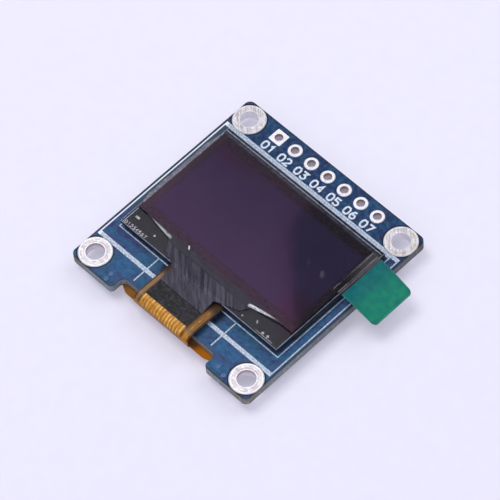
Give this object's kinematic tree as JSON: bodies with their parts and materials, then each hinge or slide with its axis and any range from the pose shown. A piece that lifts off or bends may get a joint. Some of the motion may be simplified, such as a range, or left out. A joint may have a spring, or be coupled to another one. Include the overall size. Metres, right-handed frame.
{
  "type": "small oled module",
  "caption": "Small graphic display panel taped to a square circuit board, with a folded flexible cable, a pin row and corner mounting holes.",
  "frame": {"origin": "centre of the four mounting holes, on the back face of the circuit board", "axes": "+X along the pin row, +Y towards the pin row, +Z out of the display"},
  "size_m": [0.0311, 0.0278, 0.0039],
  "materials": {
    "laminate": "satin blue solder mask over glass-reinforced laminate",
    "tinned_copper": "levelled tin, softly shiny",
    "tinned_ends": "satin tin",
    "solder": "shiny solder",
    "white_ink": "matt printed ink",
    "tape": "matt foam tape",
    "front_glass": "polished clear glass",
    "rear_glass": "clear glass with an etched pocket",
    "desiccant": "matt",
    "seal": "cured glue",
    "oled_layer": "dark mirror-like film stack",
    "polarizer": "glossy dark purple-grey",
    "silicon": "polished silicon",
    "amber_film": "glossy amber polyimide",
    "dark_ink": "glossy near-black ink",
    "clear_film": "thin clear film",
    "green_film": "glossy translucent green film",
    "capacitor_ceramic": "matt tan ceramic",
    "resistor_ceramic": "black coat on white ceramic",
    "moulding": "matt black moulding"
  },
  "bodies": {
    "root": {"capacitor_body_1": "capacitor_ceramic", "capacitor_body_2": "capacitor_ceramic", "capacitor_body_3": "capacitor_ceramic", "capacitor_body_4": "capacitor_ceramic", "capacitor_body_5": "capacitor_ceramic", "capacitor_body_6": "capacitor_ceramic", "capacitor_ends_1": "tinned_ends", "capacitor_ends_2": "tinned_ends", "capacitor_ends_3": "tinned_ends", "capacitor_ends_4": "tinned_ends", "capacitor_ends_5": "tinned_ends", "capacitor_ends_6": "tinned_ends", "component_lands": "tinned_copper", "desiccant_sheet": "desiccant", "display_tape": "tape", "driver_chip": "silicon", "edge_seal": "seal", "flex_cable": "amber_film", "flex_contacts": "tinned_copper", "flex_ink": "dark_ink", "front_glass": "front_glass", "header_plating_1": "tinned_copper", "header_plating_2": "tinned_copper", "header_plating_3": "tinned_copper", "header_plating_4": "tinned_copper", "header_plating_5": "tinned_copper", "header_plating_6": "tinned_copper", "header_plating_7": "tinned_copper", "mount_plating_1": "tinned_copper", "mount_plating_2": "tinned_copper", "mount_plating_3": "tinned_copper", "mount_plating_4": "tinned_copper", "oled_layer": "oled_layer", "polarizer": "polarizer", "printed_circuit_board": "laminate", "protective_film": "clear_film", "pull_tab": "green_film", "rear_glass": "rear_glass", "regulator_body": "moulding", "regulator_leads": "tinned_ends", "resistor_body_1": "resistor_ceramic", "resistor_body_2": "resistor_ceramic", "resistor_body_3": "resistor_ceramic", "resistor_body_4": "resistor_ceramic", "resistor_ends_1": "tinned_ends", "resistor_ends_2": "tinned_ends", "resistor_ends_3": "tinned_ends", "resistor_ends_4": "tinned_ends", "silkscreen_back": "white_ink", "silkscreen_front": "white_ink", "solder_joints": "solder"}
  },
  "joints": []
}
